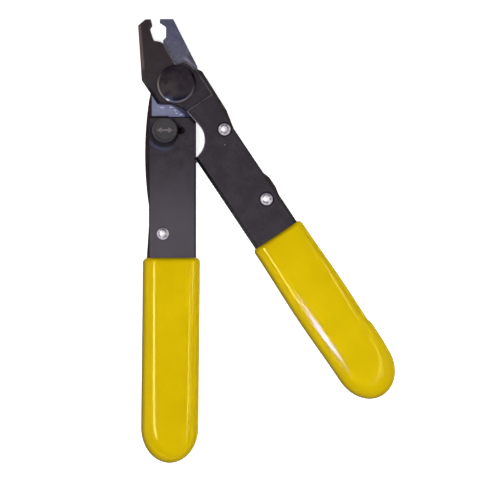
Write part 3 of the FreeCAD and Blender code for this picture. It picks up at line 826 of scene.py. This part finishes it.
def dipped_grip(name, node, body, cover, turn, material, spread, lean=0.0, swell=0.0, drip=None):
    """A skin over the handle's end: crowned, round at the far end, thinning to the plates at its mouth."""
    low, high = handle_box(node, turn)
    plates_low, plates_high = handle_box(cover, turn, below=high.y)
    middle = (low + high) / 2
    width, height = (high.x - low.x) / 2 + spread, (high.z - low.z) / 2
    end_y = low.y - GRIP_LONGER + END_LENGTH
    lip_y = high.y - GRIP_LIP
    section = half_section(width, height, GRIP_SQUARENESS)

    def station(y, angle, points, stretch=1.0, centre_x=None):
        out = Vector((math.cos(angle), math.sin(angle) * END_LENGTH / width, 0)) * stretch
        leaned_x = middle.x + lean * (y - middle.y)
        centre = Vector((leaned_x if centre_x is None else centre_x, y, middle.z))
        return [centre + out * r + Vector((0, 0, up)) for r, up in points]

    def swollen(y, bulge=None):
        along = (lip_y - y) / (lip_y - end_y)
        more = swell * math.sin(math.pi * along) ** 2 + (bulge(y) if bulge else 0.0)
        return 1 + more / width

    def mouth_ring(points, centre_x=None):
        right = station(lip_y, 0.0, points, 1.0, centre_x)
        left = station(lip_y, math.pi, points, 1.0, centre_x)
        return right + left[-2:0:-1]

    # The skin runs down one side, round the end and up the other side
    end_bulge = swollen(end_y, drip) - 1
    straight = [lip_y + (end_y - lip_y) * i / STRAIGHT_STEPS for i in range(STRAIGHT_STEPS + 1)]
    ends = [-math.pi * i / END_STEPS for i in range(1, END_STEPS)]
    path = [station(y, 0.0, section, swollen(y, drip)) for y in straight]
    for angle in ends:
        path.append(station(end_y, angle, section, 1 + end_bulge * max(math.cos(angle), 0.0) ** 2))
    path += [station(y, -math.pi, section, swollen(y)) for y in reversed(straight)]
    bm = bmesh.new()
    loft(bm, path, closed=False)

    # At the mouth it rounds in to the plates, and goes back along them inside
    plate_half = (plates_high.x - plates_low.x) / 2
    thick_half = plates_high.z - plates_low.z
    hug = half_section(plate_half, thick_half, PLATE_SQUARENESS)
    skin_ring = mouth_ring(section)
    plate_ring = mouth_ring(hug, (plates_high.x + plates_low.x) / 2)
    rings = []
    for i in range(LIP_STEPS + 1):
        angle = math.pi / 2 * i / LIP_STEPS
        forward = Vector((0, GRIP_LIP * math.sin(angle), 0))
        thinned = 1 - math.cos(angle)
        rings.append([a.lerp(b, thinned) + forward for a, b in zip(skin_ring, plate_ring)])
    rings.append([point - Vector((0, GRIP_SLEEVE, 0)) for point in plate_ring])
    rows = loft(bm, rings)
    bm.faces.new(rows[-1])

    # A slight ripple, everywhere but at the mouth
    bmesh.ops.remove_doubles(bm, verts=bm.verts, dist=WELD)
    bmesh.ops.recalc_face_normals(bm, faces=bm.faces)
    bm.normal_update()
    for vertex in bm.verts:
        if vertex.co.y < lip_y:
            wave = noise.noise(vertex.co / GRIP_RIPPLE_LENGTH)
            vertex.co -= vertex.normal * GRIP_RIPPLE * (1 + wave)
    bmesh.ops.rotate(bm, cent=(0, 0, 0), matrix=Matrix.Rotation(turn, 3, "Z"), verts=bm.verts)
    piece = new_piece(name, bm, material)
    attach(piece, body)
    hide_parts(node)


def thumb_nut(material):
    """The stop's nut: knurled round its rim, with a shallow dish in its face."""
    low, high = node_box("stop_knob")
    centre = (low + high) / 2
    radius = (high.x - low.x) / 2
    steps = NUT_TEETH * NUT_TOOTH_STEPS
    # Out, height, and how much of a tooth's depth is cut there
    profile = [
        (NUT_FOOT_SHARE * radius, low.z, 0),
        (radius - NUT_EDGE, low.z, 0),
        (radius, low.z + NUT_EDGE, 1),
        (radius, centre.z, 1),
        (radius, high.z - NUT_EDGE, 1),
        (radius - NUT_EDGE_ROUND, high.z - NUT_EDGE_ROUND, NUT_ROUND_CUT),
        (radius - NUT_EDGE, high.z, 0),
        (radius - 2 * NUT_EDGE, high.z, 0),
        (radius - 3 * NUT_EDGE, high.z - NUT_DISH, 0),
        (NUT_FACE_SHARE * radius, high.z - NUT_DISH, 0),
    ]
    rings = []
    for out, z, cut in profile:
        ring = []
        for i in range(steps):
            angle = 2 * math.pi * i / steps
            tooth = 0.5 - 0.5 * math.cos(NUT_TEETH * angle)
            reach = out - cut * NUT_TOOTH_DEPTH * tooth
            ring.append((centre.x + reach * math.cos(angle), centre.y + reach * math.sin(angle), z))
        rings.append(ring)
    piece = new_piece("thumb_nut", capped(rings), material, smooth=False)
    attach(piece, "stop_knob")
    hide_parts("stop_knob")


def nut_mark(material):
    """A plain two-headed arrow on the nut's face."""
    low, high = node_box("stop_knob")
    centre = (low + high) / 2
    face_z = high.z - NUT_DISH
    half, wide, stem = MARK_LENGTH / 2, MARK_WIDTH / 2, MARK_STEM / 2
    neck = half - MARK_HEAD
    right = [(neck, -stem), (neck, -wide), (half, 0), (neck, wide), (neck, stem)]
    outline = right + [(-x, -y) for x, y in right]
    levels = (face_z - MARK_PROUD, face_z + MARK_PROUD)
    rings = [[(centre.x + x, centre.y + y, z) for x, y in outline] for z in levels]
    piece = new_piece("nut_mark", capped(rings), material, smooth=False)
    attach(piece, "stop_knob")


def bending_spring(material):
    """The return spring, cut across its leaf into lengths."""
    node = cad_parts["return_spring"]
    low, high = [Vector(corner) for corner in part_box("return_spring")]
    bm = bmesh.new()
    bm.from_mesh(node.data)
    bmesh.ops.remove_doubles(bm, verts=bm.verts, dist=SPRING_WELD * MM)
    for i in range(1, SPRING_LENGTHS):
        at = low.y + (high.y - low.y) * i / SPRING_LENGTHS
        every = bm.verts[:] + bm.edges[:] + bm.faces[:]
        bmesh.ops.bisect_plane(bm, geom=every, plane_co=(0, at, 0), plane_no=(0, 1, 0), dist=WELD * MM)
    bmesh.ops.scale(bm, vec=(1 / MM,) * 3, verts=bm.verts)
    piece = new_piece("leaf_spring", bm, material, smooth=False)
    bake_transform(piece)
    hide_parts("return_spring")


def finish_node(name, material):
    """Gives a CAD node its finish."""
    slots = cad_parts[name].data.materials
    slots.clear()
    slots.append(material)


def soft_panel(name, place, size, brightness, along, aim=(0, 0, 0), spread=math.pi, tint=(1, 1, 1)):
    """A lamp of even brightness, whose power follows from its size and spread."""
    half = spread / 2
    beam = math.sin(half) ** 2 - (half - math.sin(half) * math.cos(half)) / math.tan(half)
    lamp = bpy.data.lights.new(name, "AREA")
    lamp.shape = "RECTANGLE"
    lamp.size, lamp.size_y = size
    lamp.spread = spread
    lamp.color = tint
    lamp.energy = brightness * size[0] * size[1] * math.pi * beam
    away = (Vector(place) - Vector(aim)).normalized()
    across = Vector(along).cross(away).normalized()
    holder = bpy.data.objects.new(name, lamp)
    holder.rotation_euler = Matrix((across, away.cross(across), away)).transposed().to_euler()
    holder.location = Vector((*VIEW_MIDDLE, 0)) * MM + Vector(place)
    holder.visible_camera = False
    bpy.context.collection.objects.link(holder)


def studio():
    """Floor, surroundings and lamps."""
    floor = bpy.data.meshes.new("floor")
    half = FLOOR_HALF * MM
    level = FLOOR_LEVEL * MM
    corners = [(-half, -half, level), (half, -half, level), (half, half, level), (-half, half, level)]
    floor.from_pydata(corners, [], [(0, 1, 2, 3)])
    floor.materials.append(pale_floor())
    ground = bpy.data.objects.new("floor", floor)
    bpy.context.collection.objects.link(ground)
    world = bpy.data.worlds.new("studio")
    world.use_nodes = True
    background = world.node_tree.nodes["Background"]
    background.inputs["Color"].default_value = WORLD_COLOUR
    background.inputs["Strength"].default_value = WORLD_STRENGTH
    bpy.context.scene.world = world
    row = Vector((*SPOT_ALONG, 0))
    for i in range(SPOT_LAMPS):
        place = Vector((*SPOT_PLACE, LAMP_HEIGHT)) + row * SPOT_SIZE[1] * (i - (SPOT_LAMPS - 1) / 2)
        soft_panel("spot_lamp", place, SPOT_SIZE, SPOT_BRIGHTNESS, row, (*SPOT_AIM, 0),
                   math.radians(SPOT_SPREAD), SPOT_TINT)
    for name, place, size, brightness, along, aim, spread in GLINT_LAMPS:
        soft_panel(name, (*place, LAMP_HEIGHT), size, brightness, (*along, 0), (*aim, 0),
                   math.radians(spread))
    for name, place, brightness, along in PANELS:
        soft_panel(name, place, PANEL_SIZE, brightness, along)


def camera():
    """Straight above the picture's middle."""
    lens = bpy.data.cameras.new("camera")
    lens.sensor_width = SENSOR_WIDTH
    lens.lens = SENSOR_WIDTH * (CAMERA_HEIGHT - VIEW_LEVEL) / VIEW_WIDTH
    lens.clip_end = CAMERA_REACH * MM
    holder = bpy.data.objects.new("camera", lens)
    holder.location = (VIEW_MIDDLE[0] * MM, VIEW_MIDDLE[1] * MM, CAMERA_HEIGHT * MM)
    bpy.context.collection.objects.link(holder)
    bpy.context.scene.camera = holder
    bpy.context.scene.view_settings.view_transform = "Standard"


right_black = right_plate()
pivot_finish = pivot_steel()
steel = plain_steel("plain_steel", PLAIN_STEEL, roughness=0.3)
finish_node("back_lever", ground_steel())
finish_node("left_cover_plate", left_plate())
finish_node("front_lever", right_black)
finish_node("right_cover_plate", right_black)
for rivet in ("left_handle_rivet", "right_upper_rivet", "right_lower_rivet"):
    finish_node(rivet, bright_rivet(rivet))
for pivot_end in ("pivot_rivet", "pivot_tail_ring"):
    finish_node(pivot_end, pivot_finish)
for hidden in ("left_tail_rivet", "right_tail_rivet", "pivot_washer"):
    finish_node(hidden, steel)
for stop_piece in ("stop_stud", "stop_collar", "stop_washer"):
    finish_node(stop_piece, steel)
finish_node("pivot_bush", plain_steel("bronze_bush", BRONZE, roughness=0.35))

dipped_grip("left_dipped_grip", "left_grip", "back_half", "left_cover_plate", 0.0,
            yellow_grip("left_yellow_grip"), LEFT_SPREAD, lean=LEFT_LEAN)
dipped_grip("right_dipped_grip", "right_grip", "front_half", "right_cover_plate", OPEN_ANGLE,
            yellow_grip("right_yellow_grip", OPEN_ANGLE), RIGHT_SPREAD, swell=RIGHT_SWELL, drip=drip_bulge)
thumb_nut(black_knob())
nut_mark(knob_print())
bending_spring(plain_steel("spring_steel", SPRING_STEEL, roughness=0.3))
studio()
camera()
